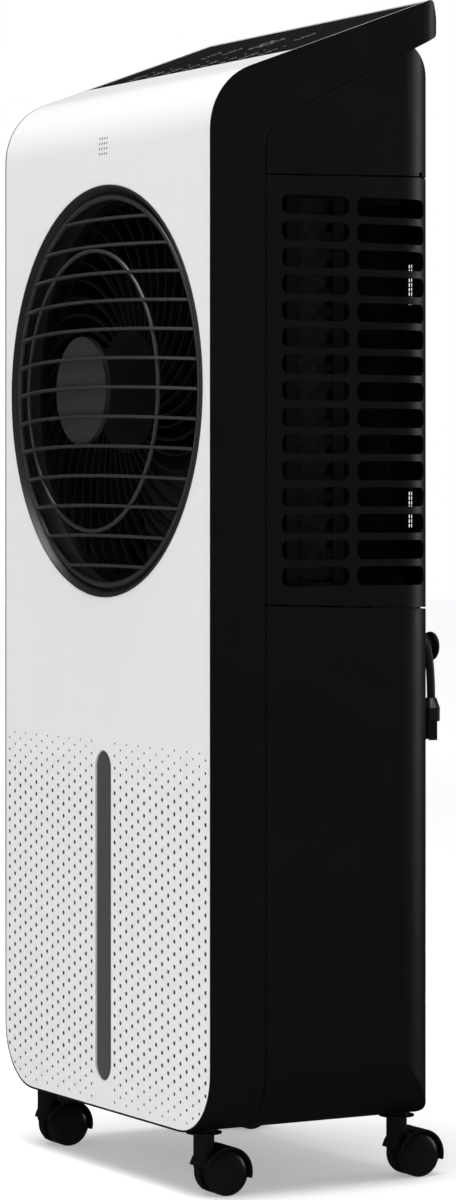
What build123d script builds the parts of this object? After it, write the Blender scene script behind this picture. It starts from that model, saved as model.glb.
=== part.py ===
"""Evaporative tower air cooler on twin-wheel casters.

Millimetres. +Z is up, -Y is the front, and the origin is on the floor under the middle of the cooler.
Depths are distances behind the flat front face: behind(depth) turns one into a Y value.
"""
from build123d import *
from math import cos, pi, radians, sin, sqrt, tan
import os

os.makedirs("parts", exist_ok=True)

# ---------------------------------------------------------------- driving dimensions
WIDTH = 330.0               # across the side walls
FRONT_Y = -95.5             # flat front face
BODY_DEPTH = 194.5          # front face to rear wall
BODY_BOTTOM = 46.0          # underside above the floor
BOTTOM_CORNER = 47.0        # lower corners in the front view
REAR_CORNER = 34.0          # upright rear corners in plan
WALL = 3.7
SEAM_DEPTH = 44.5           # back edge of the front frame
SEAM_GAP = 0.8

CREST = 796.1               # where the front face and the sloping top would meet
SLOPE = 0.37                # rise of the top per unit of depth
FRONT_ROUND = 50.0          # from the front face to the sloping top
CAP_DEPTH = 197.3           # rear tip of the cap
CAP_UNDER_Z = 767.3         # underside line of the cap, at the seam
CAP_UNDER_SLOPE = 0.4826

PANEL = 2.5                 # white panel thickness
RIM = 1.5                   # dark rim of the frame around the white panel
FRAME_INSIDE = 5.5          # front wall of the frame ends here
CAVITY_HALF = WIDTH / 2 - 3.5

LOWER_SEAM = (424.1, 419.9)     # height at the frame and at the rear wall
UPPER_SEAM = (731.2, 735.2)

FAN_Z = 580.0
FAN_HOLE = 153.3
GRILLE_APEX = -24.0         # depth of the grille's foremost point
GRILLE_SPHERE = 438.8       # radius of the domed front of the bars
GRILLE_RING = 144.0
SUPPORT_RING = 104.0
BAR_PITCH = 21.4
BAR_ROWS = 13
BAR_HEIGHT = 2.0
BAR_DEPTH = 3.5
BAR_TILT = 9.0
DISC_RADIUS = 40.0
DISC_THICK = 4.0

BLADE_COUNT = 5
BLADE_TIP = 134.0
HUB_RADIUS = 32.0
SHAFT_RADIUS = 4.0
SHAFT_CLEARANCE = 0.05

WINDOW_WIDTH = 25.5
WINDOW_LOW, WINDOW_HIGH = 67.4, 313.0
SENSOR_Z, SENSOR_PITCH, SENSOR_HOLE = 762.2, 3.8, 0.9

LOUVRE_ROWS, LOUVRE_PITCH, LOUVRE_MID = 15, 19.05, 577.5
LOUVRE_HEIGHT, LOUVRE_ROUND = 13.9, 5.5
LOUVRE_COLUMNS = ((58.2, 114.4), (120.8, 182.2))

PAD_FRONT, PAD_REAR = 78.3, 107.7
CASSETTE_FRONT, CASSETTE_REAR = 69.0, 117.0
CASSETTE_HALF, CASSETTE_LOW, CASSETTE_HIGH = 153.0, 432.0, 726.0
POST, PLATE = 12.0, 8.0

FILTER_HALF, FILTER_LOW, FILTER_HIGH = 110.0, 440.0, 722.0
FILTER_CLEARANCE = 0.4

TANK_HALF, TANK_FRONT, TANK_REAR = 138.0, 8.0, 186.0
TANK_LOW, TANK_HIGH, TANK_WALL = 60.0, 322.0, 2.5
DRAWER_HALF, DRAWER_LOW, DRAWER_HIGH = 141.5, 54.5, 331.5
DRAIN_X, DRAIN_Z, DRAIN_RADIUS = 100.0, 78.0, 8.0
PUMP_X, PUMP_DEPTH = -112.0, 130.0
FLOAT_X, FLOAT_DEPTH = 60.0, 34.0

CASTER_X = 125.0
CASTER_DEPTHS = {"front": 16.5, "rear": 179.0}
WHEEL_RADIUS = 16.5
CASTER_TRAIL = 14.0
STEM_RADIUS = 4.95

CORD = 6.2                  # cord diameter
PEG_RADIUS, PEG_FLANGE = 5.5, 11.0
PEG_BACK, PEG_NECK_END, PEG_END = 199.5, 211.5, 215.0
HANK_Z, HANK_LEFT, HANK_RIGHT = 384.8, -25.0, 65.0
HANK_LAYERS = 3
SIDE_PEG = (118.0, 390.5)
PLUG_TURN = -20.0


def behind(depth):
    return FRONT_Y + depth


def top_z(depth, inset=0.0):
    """Height of the sloping top at a depth, measured inset below its surface."""
    return CREST + SLOPE * depth - inset * sqrt(1 + SLOPE**2)


def cap_under(depth):
    return CAP_UNDER_Z + CAP_UNDER_SLOPE * (depth - SEAM_DEPTH)


def seam_z(seam, depth):
    share = (depth - SEAM_DEPTH) / (BODY_DEPTH - SEAM_DEPTH)
    return seam[0] + (seam[1] - seam[0]) * share


def yz(depth, z):
    """A point of a side profile drawn in the YZ plane."""
    return (behind(depth), z)


def save(piece, name):
    piece.label = name
    export_step(piece, f"parts/{name}.step")


def front_view(inset, low, height=900.0):
    """Sketch, in the XZ plane, of the body seen from the front: square above, rounded below."""
    half = WIDTH / 2 - inset
    with BuildSketch(Plane.XZ) as view:
        with Locations((0, low)):
            Rectangle(2 * half, height, align=(Align.CENTER, Align.MIN))
        fillet(view.vertices().group_by(Axis.Y)[0], BOTTOM_CORNER - inset)
    return view.sketch


def plan_view(inset, front, rear, corner):
    """Sketch, in the XY plane, of the body seen from above: square in front, rounded behind."""
    half = WIDTH / 2 - inset
    with BuildSketch() as view:
        with Locations((0, behind(front))):
            Rectangle(2 * half, rear - front, align=(Align.CENTER, Align.MIN))
        fillet(view.vertices().group_by(Axis.Y)[-1], corner)
    return view.sketch


def side_region(inset, low, rear):
    """Sketch, in the YZ plane, of everything inside the front face and the sloping top."""
    with BuildSketch(Plane.YZ) as region:
        with BuildLine():
            start = yz(inset, low)
            FilletPolyline(start, yz(inset, top_z(inset, inset)), yz(rear, top_z(rear, inset)), yz(rear, low),
                           radius=[FRONT_ROUND - inset, 0.5])
            Line(yz(rear, low), start)
        make_face()
    return region.sketch


def y_axis_at(z, x=0.0):
    return Axis((x, 0, z), (0, 1, 0))


# ---------------------------------------------------------------- front panel, frame and cap
PANEL_REAR = 183.0
GLASS_FRONT = 69.0
BORDER = 1.8
SEAT_LOW = BODY_BOTTOM + RIM


def window_slot(width, low, high):
    """Upright slot with round ends, in the XZ plane."""
    with BuildSketch(Plane.XZ) as slot:
        with Locations((0, (low + high) / 2)):
            SlotOverall(high - low, width, rotation=90)
    return slot.sketch


with BuildPart() as panel_space:
    extrude(side_region(0, SEAT_LOW, PANEL_REAR), amount=WIDTH / 2 - RIM, both=True)
    extrude(side_region(PANEL, SEAT_LOW, PANEL_REAR + 10), amount=WIDTH, both=True, mode=Mode.SUBTRACT)
    extrude(front_view(RIM, SEAT_LOW), amount=400, both=True, mode=Mode.INTERSECT)

with BuildPart() as glass_space:
    with BuildSketch(Plane.YZ):
        with BuildLine():
            glass_rear = PANEL_REAR - BORDER
            Polyline(yz(GLASS_FRONT, top_z(GLASS_FRONT, -5)), yz(glass_rear, top_z(glass_rear, -5)),
                     yz(glass_rear, top_z(glass_rear, PANEL)),
                     yz(GLASS_FRONT, top_z(GLASS_FRONT, PANEL)), close=True)
        make_face()
    extrude(amount=WIDTH / 2 - RIM - BORDER, both=True)

with BuildPart() as front_panel:
    add(panel_space.part)
    add(glass_space.part, mode=Mode.SUBTRACT)
    extrude(window_slot(WINDOW_WIDTH, WINDOW_LOW, WINDOW_HIGH), amount=200, both=True, mode=Mode.SUBTRACT)
    with BuildSketch(Plane.XZ.offset(-behind(20))):
        with Locations((0, FAN_Z)):
            Circle(FAN_HOLE)
        with Locations((0, SENSOR_Z)):
            with GridLocations(SENSOR_PITCH, SENSOR_PITCH, 4, 4):
                Circle(SENSOR_HOLE)
    extrude(amount=60, mode=Mode.SUBTRACT)
save(front_panel.part, "front_panel")

with BuildPart() as control_panel:
    GLASS_GAP = 0.15
    with BuildSketch(Plane.YZ):
        with BuildLine():
            front, rear = GLASS_FRONT + GLASS_GAP, glass_rear - GLASS_GAP
            Polyline(yz(front, top_z(front, 0.2)), yz(rear, top_z(rear, 0.2)), yz(rear, top_z(rear, PANEL)),
                     yz(front, top_z(front, PANEL)), close=True)
        make_face()
    extrude(amount=WIDTH / 2 - RIM - BORDER - GLASS_GAP, both=True)
save(control_panel.part, "control_panel")

CAP_WALL = 3.0
with BuildPart() as frame_cavity:
    with BuildSketch(Plane.YZ):
        with BuildLine():
            inner_rear = 184.0
            under_lift = CAP_WALL * sqrt(1 + CAP_UNDER_SLOPE**2)
            throat = SEAM_DEPTH - CAP_WALL
            start = yz(FRAME_INSIDE, BODY_BOTTOM + 3.5)
            end = yz(SEAM_DEPTH + 20, BODY_BOTTOM + 3.5)
            FilletPolyline(start, yz(FRAME_INSIDE, top_z(FRAME_INSIDE, FRAME_INSIDE)),
                           yz(inner_rear, top_z(inner_rear, FRAME_INSIDE)),
                           yz(inner_rear, cap_under(inner_rear) + under_lift),
                           yz(throat, cap_under(throat) + under_lift), yz(throat, 738),
                           yz(SEAM_DEPTH + 20, 738), end,
                           radius=[FRONT_ROUND - FRAME_INSIDE, 3, 3, 33, 1, 1])
            Line(end, start)
        make_face()
    extrude(amount=CAVITY_HALF, both=True)
    extrude(front_view(3.5, BODY_BOTTOM + 3.5), amount=400, both=True, mode=Mode.INTERSECT)

with BuildPart() as front_frame:
    with BuildSketch(Plane.YZ):
        with BuildLine():
            start = yz(0, BODY_BOTTOM)
            end = yz(SEAM_DEPTH, BODY_BOTTOM)
            FilletPolyline(start, yz(0, CREST), yz(187.0, top_z(187.0)), yz(CAP_DEPTH, 843.5),
                           yz(190.5, cap_under(190.5)), yz(SEAM_DEPTH, CAP_UNDER_Z), end,
                           radius=[FRONT_ROUND, 4, 4, 3, 30])
            Line(end, start)
        make_face()
    extrude(amount=WIDTH / 2, both=True)
    extrude(front_view(0, BODY_BOTTOM), amount=400, both=True, mode=Mode.INTERSECT)
    extrude(plan_view(0, -10, CAP_DEPTH, 20), amount=900, mode=Mode.INTERSECT)
    add(frame_cavity.part, mode=Mode.SUBTRACT)
    add(panel_space.part, mode=Mode.SUBTRACT)
    extrude(window_slot(WINDOW_WIDTH, WINDOW_LOW, WINDOW_HIGH), amount=110, both=True, mode=Mode.SUBTRACT)
    with BuildSketch(Plane.XZ.offset(-behind(20))):
        with Locations((0, FAN_Z)):
            Circle(FAN_HOLE)
    extrude(amount=60, mode=Mode.SUBTRACT)
    with Locations((-CASTER_X, behind(CASTER_DEPTHS["front"]), BODY_BOTTOM),
                   (CASTER_X, behind(CASTER_DEPTHS["front"]), BODY_BOTTOM)):
        Cylinder(9.2, 30, mode=Mode.SUBTRACT)
save(front_frame.part, "front_frame")

with BuildPart() as control_board:
    with BuildSketch(Plane.YZ):
        with BuildLine():
            Polyline(yz(85, top_z(85, 9)), yz(160, top_z(160, 9)), yz(160, top_z(160, 10.6)),
                     yz(85, top_z(85, 10.6)), close=True)
        make_face()
    extrude(amount=120, both=True)
save(control_board.part, "control_board")

with BuildPart() as level_window:
    lens_low, lens_high, lens_width = WINDOW_LOW + 0.3, WINDOW_HIGH - 0.3, WINDOW_WIDTH - 0.6
    lens = window_slot(lens_width, lens_low, lens_high)
    flange = window_slot(lens_width + 8, lens_low - 4, lens_high + 4)
    extrude(lens.moved(Location((0, behind(1.2), 0))), amount=-(FRAME_INSIDE - 1.2))
    extrude(flange.moved(Location((0, behind(FRAME_INSIDE), 0))), amount=-1.5)
save(level_window.part, "level_window")

# ---------------------------------------------------------------- fan bezel, grille and disc
with BuildPart() as fan_bezel:
    with BuildSketch(Plane.YZ):
        with BuildLine():
            Polyline(yz(2.0, FAN_Z + 153.0), yz(-0.6, FAN_Z + 153.0), yz(-1.0, FAN_Z + 151.6),
                     yz(5.4, FAN_Z + 147.4), yz(5.4, FAN_Z + 142.5), yz(7.4, FAN_Z + 142.5),
                     yz(7.4, FAN_Z + 146.2), yz(36.0, FAN_Z + 144.5), yz(36.0, FAN_Z + 147.0),
                     yz(8.5, FAN_Z + 149.0), yz(8.5, FAN_Z + 158.0), yz(FRAME_INSIDE, FAN_Z + 158.0),
                     yz(FRAME_INSIDE, FAN_Z + 153.0), close=True)
        make_face()
    revolve(axis=y_axis_at(FAN_Z))
save(fan_bezel.part, "fan_bezel")


def dome_shell(front_inset, rear_inset, radius):
    """Slice of the grille's dome between two concentric spheres, out to a radius from the fan axis."""
    centre = behind(GRILLE_APEX + GRILLE_SPHERE)
    with BuildPart() as shell:
        with BuildSketch(Plane.YZ):
            with BuildLine():
                outer, inner = GRILLE_SPHERE - front_inset, GRILLE_SPHERE - rear_inset
                outer_rim = (centre - sqrt(outer**2 - radius**2), FAN_Z + radius)
                inner_rim = (centre - sqrt(inner**2 - radius**2), FAN_Z + radius)
                outer_tip, inner_tip = (centre - outer, FAN_Z), (centre - inner, FAN_Z)
                half = radius / 2
                ThreePointArc(outer_tip, (centre - sqrt(outer**2 - half**2), FAN_Z + half), outer_rim)
                Line(outer_rim, inner_rim)
                ThreePointArc(inner_rim, (centre - sqrt(inner**2 - half**2), FAN_Z + half), inner_tip)
                Line(inner_tip, outer_tip)
            make_face()
        revolve(axis=y_axis_at(FAN_Z))
    return shell.part


def dome_depth(radius):
    return GRILLE_APEX + GRILLE_SPHERE - sqrt(GRILLE_SPHERE**2 - radius**2)


with BuildPart() as grille_rings:
    with Locations(Plane((0, behind(3.2), FAN_Z), z_dir=(0, 1, 0))):
        Torus(GRILLE_RING, 2.2)
    with Locations(Plane((0, behind(dome_depth(SUPPORT_RING) + 2.2), FAN_Z), z_dir=(0, 1, 0))):
        Torus(SUPPORT_RING, 1.6)
save(grille_rings.part, "grille_rings")

with BuildPart() as front_grille:
    with BuildSketch(Plane.YZ):
        with Locations((behind(-10), FAN_Z)):
            with GridLocations(1, BAR_PITCH, 1, BAR_ROWS):
                Rectangle(60, BAR_HEIGHT, rotation=-BAR_TILT)
    extrude(amount=WIDTH / 2, both=True)
    add(dome_shell(0, BAR_DEPTH, GRILLE_RING), mode=Mode.INTERSECT)
    add(grille_rings.part, mode=Mode.SUBTRACT)
save(front_grille.part, "front_grille")

grille_disc = dome_shell(BAR_DEPTH + 0.05, BAR_DEPTH + DISC_THICK, DISC_RADIUS)
save(grille_disc, "grille_disc")

# ---------------------------------------------------------------- fan, motor and duct
SHROUD_FRONT, SHROUD_REAR = 52.0, 55.0
with BuildPart() as fan_shroud:
    with BuildSketch(Plane.XZ.offset(-behind(SHROUD_REAR))):
        with Locations((0, 579)):
            Rectangle(316, 300)
        with Locations((0, FAN_Z)):
            Circle(140, mode=Mode.SUBTRACT)
    extrude(amount=SHROUD_REAR - SHROUD_FRONT)
    with BuildSketch(Plane.XZ.offset(-behind(SHROUD_REAR))):
        with Locations((0, FAN_Z)):
            Circle(143)
            Circle(140, mode=Mode.SUBTRACT)
    extrude(amount=SHROUD_REAR - 36.5)
save(fan_shroud.part, "fan_shroud")

GUARD_FRONT, GUARD_REAR = 20.5, 24.5
GUARD_OUTER, GUARD_INNER, GUARD_HUB = 145.1, 139.0, 46.0     # rim and solid middle, radii
GUARD_RIBS, RIB = 40, 1.9
# each rib is an arc that drifts round the fan axis on its way out: radius and angle of three points
rib_places = ((43.0, 0.0), (91.0, 22.0), (141.0, 44.0))
rib_arc = ThreePointArc(*[(r * cos(radians(turn)), r * sin(radians(turn))) for r, turn in rib_places])
with BuildPart() as fan_guard:
    with BuildSketch(Plane.XZ.offset(-behind(GUARD_REAR))):
        with Locations((0, FAN_Z)):
            Circle(GUARD_OUTER)
            Circle(GUARD_INNER, mode=Mode.SUBTRACT)
            Circle(GUARD_HUB)
            with PolarLocations(0, GUARD_RIBS):
                SlotArc(rib_arc, RIB)
    extrude(amount=GUARD_REAR - GUARD_FRONT)
save(fan_guard.part, "fan_guard")

MOTOR_RADIUS = 28.0
with BuildPart() as fan_motor:
    with BuildSketch(Plane.YZ):
        with BuildLine():
            bore = SHAFT_RADIUS + SHAFT_CLEARANCE
            FilletPolyline(yz(71, FAN_Z), yz(71, FAN_Z + bore), yz(51, FAN_Z + bore), yz(51, FAN_Z + 12),
                           yz(54, FAN_Z + 12), yz(54, FAN_Z + MOTOR_RADIUS), yz(74.5, FAN_Z + MOTOR_RADIUS),
                           yz(74.5, FAN_Z), radius=[0.3, 0.3, 1, 1, 3, 0.5])
            Line(yz(74.5, FAN_Z), yz(71, FAN_Z))
        make_face()
    revolve(axis=y_axis_at(FAN_Z))
save(fan_motor.part, "fan_motor")

BRACKET_FRONT, BRACKET_REAR, BRACKET_REACH = 61.0, 64.0, 147.5
with BuildPart() as motor_bracket:
    with BuildSketch(Plane.XZ.offset(-behind(BRACKET_REAR))):
        with Locations((0, FAN_Z)):
            Rectangle(2 * BRACKET_REACH, 12, rotation=45)
            Rectangle(2 * BRACKET_REACH, 12, rotation=-45)
            Circle(MOTOR_RADIUS + 8)
            Circle(MOTOR_RADIUS, mode=Mode.SUBTRACT)
    extrude(amount=BRACKET_REAR - BRACKET_FRONT)
    with BuildSketch(Plane.XZ.offset(-behind(BRACKET_FRONT))):
        with Locations((0, FAN_Z)):
            with PolarLocations(BRACKET_REACH, 4, start_angle=45):
                Circle(6)
    extrude(amount=BRACKET_FRONT - SHROUD_REAR)
    with BuildSketch(Plane.XZ.offset(-behind(BRACKET_REAR))):
        with Locations((0, FAN_Z)):
            with PolarLocations(BRACKET_REACH, 4, start_angle=45):
                Circle(6)
    extrude(amount=BRACKET_REAR - BRACKET_FRONT)
save(motor_bracket.part, "motor_bracket")

SHAFT_FRONT, SHAFT_REAR = 28.0, 70.0
with BuildPart() as motor_shaft:
    with BuildSketch(Plane.XZ.offset(-behind(SHAFT_REAR))):
        with Locations((0, FAN_Z)):
            Circle(SHAFT_RADIUS)
    extrude(amount=SHAFT_REAR - SHAFT_FRONT)
save(motor_shaft.part, "motor_shaft")

# radius, chord, pitch in degrees, sweep of the chord's middle
BLADE_SECTIONS = ((HUB_RADIUS - 3, 46.0, 36.0, 0.0), (84.0, 70.0, 27.0, 10.0),
                  (BLADE_TIP + 8, 88.0, 20.0, 28.0))
BLADE_THICK = 2.4
BLADE_MID = 42.5
with BuildPart() as blade:
    for radius, chord, pitch, sweep_x in BLADE_SECTIONS:
        along = (cos(radians(pitch)), -tan(radians(pitch)) * cos(radians(pitch)), 0)
        with BuildSketch(Plane((sweep_x, behind(BLADE_MID), FAN_Z + radius), x_dir=along, z_dir=(0, 0, 1))):
            Rectangle(chord, BLADE_THICK)
    loft()
    with BuildSketch(Plane.XZ.offset(-behind(90))):
        with Locations((0, FAN_Z)):
            Circle(BLADE_TIP)
    extrude(amount=90, mode=Mode.INTERSECT)

with BuildPart() as fan_impeller:
    with BuildSketch(Plane.YZ):
        with BuildLine():
            hub_front, hub_rear = 30.0, 49.0
            FilletPolyline(yz(hub_front, FAN_Z + SHAFT_RADIUS), yz(hub_front, FAN_Z + HUB_RADIUS),
                           yz(hub_rear, FAN_Z + HUB_RADIUS), yz(hub_rear, FAN_Z + HUB_RADIUS - 2.5),
                           yz(hub_front + 3, FAN_Z + HUB_RADIUS - 2.5), yz(hub_front + 3, FAN_Z + 9),
                           yz(hub_rear - 2, FAN_Z + 9), yz(hub_rear - 2, FAN_Z + SHAFT_RADIUS),
                           radius=[6, 0.5, 0.5, 2, 2, 0.5])
            Line(yz(hub_rear - 2, FAN_Z + SHAFT_RADIUS), yz(hub_front, FAN_Z + SHAFT_RADIUS))
        make_face()
    revolve(axis=y_axis_at(FAN_Z))
    with BuildSketch(Plane.XZ.offset(-behind(90))) as hub_core:
        with Locations((0, FAN_Z)):
            Circle(HUB_RADIUS - 2.5)
    blade_outside = blade.part - extrude(hub_core.sketch, amount=90, mode=Mode.PRIVATE)
    for number in range(BLADE_COUNT):
        add(blade_outside.rotate(y_axis_at(FAN_Z), 360 / BLADE_COUNT * number))
save(fan_impeller.part, "fan_impeller")

with BuildPart() as fan_nut:
    with BuildSketch(Plane.XZ.offset(-behind(hub_front - 0.1))):
        with Locations((0, FAN_Z)):
            RegularPolygon(8, 6)
            Circle(SHAFT_RADIUS, mode=Mode.SUBTRACT)
    extrude(amount=1.9)
    with BuildSketch(Plane.XZ.offset(-behind(SHAFT_FRONT))):
        with Locations((0, FAN_Z)):
            RegularPolygon(8, 6)
    extrude(amount=3)
    chamfer(fan_nut.faces().sort_by(Axis.Y)[0].edges(), 0.8)
save(fan_nut.part, "fan_nut")

# ---------------------------------------------------------------- rear housings
SHELL_FRONT = SEAM_DEPTH + SEAM_GAP
LIP = 3.0


def body_band(low_seam, high_seam):
    """Solid block of the rear body between two heights, each given at the frame and at the rear wall."""
    with BuildPart() as band:
        with BuildSketch(Plane.YZ):
            with BuildLine():
                Polyline(yz(SHELL_FRONT, low_seam[0]), yz(BODY_DEPTH, low_seam[1]),
                         yz(BODY_DEPTH, high_seam[1]), yz(SHELL_FRONT, high_seam[0]), close=True)
            make_face()
        extrude(amount=WIDTH / 2, both=True)
        extrude(plan_view(0, SHELL_FRONT, BODY_DEPTH, REAR_CORNER), amount=900, mode=Mode.INTERSECT)
    return band.part


def inner_plan(inset, low, high):
    """Solid block inside the walls, open through the front."""
    with BuildPart() as block:
        extrude(plan_view(inset, 20, BODY_DEPTH - inset, REAR_CORNER - inset), amount=high)
        with Locations((0, 0, low)):
            Box(600, 600, 2 * low, align=(Align.CENTER, Align.CENTER, Align.MAX), mode=Mode.SUBTRACT)
    return block.part


def seam_lip(low, high):
    """Ring inside the walls that covers a seam, as a block less its middle."""
    with BuildPart() as ring:
        with Locations((0, behind(SHELL_FRONT), 0)):
            add(inner_plan(WALL, low, high))
            add(inner_plan(WALL + LIP, low - 1, high + 1), mode=Mode.SUBTRACT)
        with Locations((0, behind(SHELL_FRONT), low)):
            Box(600, 200, 2 * (high - low), align=(Align.CENTER, Align.MAX, Align.MIN), mode=Mode.SUBTRACT)
    return ring.part


def front_tongues(low, high):
    """Two upright tongues that reach forward inside the front frame and cover the upright seam."""
    with BuildPart() as tongues:
        for side in (-1, 1):
            with Locations((side * (WIDTH / 2 - WALL - LIP / 2), behind(SHELL_FRONT + 2), low)):
                Box(LIP, 14, high - low, align=(Align.CENTER, Align.CENTER, Align.MIN))
    return tongues.part


def rear_holes(spots, radius):
    """Sketch, behind the rear wall, of round holes."""
    with BuildSketch(Plane.XZ.offset(-behind(BODY_DEPTH + 5))) as holes:
        with Locations(*spots):
            Circle(radius)
    return holes.sketch


def rear_window(half, low, high, corner):
    """Sketch, behind the rear wall, of an opening with rounded corners."""
    with BuildSketch(Plane.XZ.offset(-behind(BODY_DEPTH + 5))) as window:
        with Locations((0, (low + high) / 2)):
            RectangleRounded(2 * half, high - low, corner)
    return window.sketch


SCREW_X = 122.0
LOWER_SCREWS = [(-SCREW_X, 345), (SCREW_X, 345)]
LOUVRE_SCREWS = [(-SCREW_X, 431), (SCREW_X, 431), (-SCREW_X, 726), (SCREW_X, 726)]
HALF_GAP = 0.6
VENT_X, VENT_HOLE, VENT_PITCH = 122.0, 2.5, 3.4
VENT_ROWS = ((658.5, 9), (492.0, 8))            # middle height and number of rows
VENT_SKIN = 0.8                                 # thickness left round the vent holes

with BuildPart() as lower_inside:
    add(inner_plan(WALL, BODY_BOTTOM + 3.5, 500))
    extrude(front_view(WALL, BODY_BOTTOM + 3.5), amount=400, both=True, mode=Mode.INTERSECT)

with BuildPart() as lower_housing:
    add(body_band((BODY_BOTTOM, BODY_BOTTOM), (LOWER_SEAM[0] - HALF_GAP, LOWER_SEAM[1] - HALF_GAP)))
    extrude(front_view(0, BODY_BOTTOM), amount=400, both=True, mode=Mode.INTERSECT)
    add(lower_inside.part, mode=Mode.SUBTRACT)
    add(seam_lip(410, 427))
    add(front_tongues(110, 416))
    extrude(rear_window(DRAWER_HALF, DRAWER_LOW, DRAWER_HIGH, 4), amount=30, mode=Mode.SUBTRACT)
    extrude(rear_holes(LOWER_SCREWS, 2.0), amount=20, mode=Mode.SUBTRACT)
    with Locations((-CASTER_X, behind(CASTER_DEPTHS["rear"]), BODY_BOTTOM),
                   (CASTER_X, behind(CASTER_DEPTHS["rear"]), BODY_BOTTOM)):
        Cylinder(9.2, 30, mode=Mode.SUBTRACT)
save(lower_housing.part, "lower_housing")

with BuildPart() as vent_pockets:
    for vent_z, rows in VENT_ROWS:
        with Locations((-VENT_X, behind(BODY_DEPTH), vent_z), (VENT_X, behind(BODY_DEPTH), vent_z)):
            Box(3 * VENT_PITCH + 1, 24, rows * VENT_PITCH + 1)
    add(inner_plan(VENT_SKIN, 400, 760), mode=Mode.INTERSECT)

with BuildPart() as louvre_panel:
    add(body_band((LOWER_SEAM[0] + HALF_GAP, LOWER_SEAM[1] + HALF_GAP),
                  (UPPER_SEAM[0] - HALF_GAP, UPPER_SEAM[1] - HALF_GAP)))
    add(inner_plan(WALL, 400, 760), mode=Mode.SUBTRACT)
    add(seam_lip(724, 740))
    add(front_tongues(432, 728))
    with BuildSketch(Plane.YZ):
        for near, far in LOUVRE_COLUMNS:
            with Locations((behind((near + far) / 2), LOUVRE_MID)):
                with GridLocations(1, LOUVRE_PITCH, 1, LOUVRE_ROWS):
                    RectangleRounded(far - near, LOUVRE_HEIGHT, LOUVRE_ROUND)
    extrude(amount=WIDTH, both=True, mode=Mode.SUBTRACT)
    extrude(rear_window(FILTER_HALF, FILTER_LOW, FILTER_HIGH, 6), amount=30, mode=Mode.SUBTRACT)
    extrude(rear_holes(LOUVRE_SCREWS, 2.0), amount=20, mode=Mode.SUBTRACT)
    add(vent_pockets.part, mode=Mode.SUBTRACT)
    with BuildSketch(Plane.XZ.offset(-behind(BODY_DEPTH + 5))):
        for vent_z, rows in VENT_ROWS:
            with Locations((-VENT_X, vent_z), (VENT_X, vent_z)):
                with GridLocations(VENT_PITCH, VENT_PITCH, 3, rows):
                    Rectangle(VENT_HOLE, VENT_HOLE)
    extrude(amount=20, mode=Mode.SUBTRACT)
save(louvre_panel.part, "louvre_panel")


def top_housing_block(inset):
    """Upper rear housing as a solid, its surface set inwards by inset."""
    meet_depth, arc_depth, arc_z, arc_radius = 171.0, 144.5, 786.0, 50.0
    with BuildPart() as block:
        with BuildSketch(Plane.YZ):
            with BuildLine():
                radius = arc_radius - inset
                drop = 0.3 + inset * sqrt(1 + CAP_UNDER_SLOPE**2)
                meet = yz(meet_depth - inset, cap_under(meet_depth - inset) - drop)
                rear_start = yz(arc_depth + radius, arc_z)
                bottom_rear = yz(arc_depth + radius, UPPER_SEAM[1] + HALF_GAP)
                bottom_front = yz(SHELL_FRONT, UPPER_SEAM[0] + HALF_GAP)
                ThreePointArc(meet, yz(arc_depth + radius * cos(pi / 6), arc_z + radius / 2), rear_start)
                Polyline(rear_start, bottom_rear, bottom_front)
                FilletPolyline(bottom_front, yz(SHELL_FRONT, cap_under(SHELL_FRONT) - drop), meet,
                               radius=[29.5 - inset])
            make_face()
        extrude(amount=WIDTH / 2 - inset, both=True)
        extrude(plan_view(inset, SHELL_FRONT, BODY_DEPTH - inset, REAR_CORNER - inset), amount=900,
                mode=Mode.INTERSECT)
    return block.part


with BuildPart() as rear_housing_top:
    add(top_housing_block(0))
    add(top_housing_block(WALL), mode=Mode.SUBTRACT)
    with Locations((0, behind(SHELL_FRONT), 700)):
        Box(2 * (WIDTH / 2 - WALL), 8, 46, align=(Align.CENTER, Align.CENTER, Align.MIN), mode=Mode.SUBTRACT)
    with Locations((0, behind(120), 730)):
        Box(2 * (WIDTH / 2 - WALL), 120, 16, mode=Mode.SUBTRACT)
save(rear_housing_top.part, "rear_housing_top")

SCREW_HEAD, SCREW_SHANK = 3.6, 1.7
with BuildPart() as housing_screws:
    with BuildSketch(Plane.XZ.offset(-behind(BODY_DEPTH))):
        with Locations(*LOWER_SCREWS, *LOUVRE_SCREWS):
            Circle(SCREW_SHANK)
    extrude(amount=7)
    with BuildSketch(Plane.XZ.offset(-behind(BODY_DEPTH + 2))):
        with Locations(*LOWER_SCREWS, *LOUVRE_SCREWS):
            Circle(SCREW_HEAD)
    extrude(amount=2)
    fillet(housing_screws.faces().group_by(Axis.Y)[-1].edges(), 1.2)
save(housing_screws.part, "housing_screws")

# ---------------------------------------------------------------- rear filter
FRAME_BAR = 10.0
SLAT_PITCH, SLAT_CHORD, SLAT_THICK = 6.5, 10.2, 1.3
filter_half = FILTER_HALF - FILTER_CLEARANCE
filter_height = FILTER_HIGH - FILTER_LOW - 2 * FILTER_CLEARANCE
filter_mid = (FILTER_LOW + FILTER_HIGH) / 2
filter_opening = (2 * (filter_half - FRAME_BAR), filter_height - 2 * FRAME_BAR)
SLATS = int(filter_opening[1] / SLAT_PITCH)
with BuildPart() as filter_frame:
    with BuildSketch(Plane.XZ.offset(-behind(196))):
        with Locations((0, filter_mid)):
            RectangleRounded(2 * filter_half, filter_height, 5.6)
            Rectangle(*filter_opening, mode=Mode.SUBTRACT)
            with GridLocations(50, 0, 3, 1):
                Rectangle(3, filter_height - FRAME_BAR)
    extrude(amount=8)
    with BuildSketch(Plane.YZ):
        with Locations((behind(192), filter_mid)):
            with GridLocations(0, SLAT_PITCH, 1, SLATS):
                Rectangle(SLAT_CHORD, SLAT_THICK, rotation=-45)
    extrude(amount=filter_opening[0] / 2, both=True)
save(filter_frame.part, "filter_frame")

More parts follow.
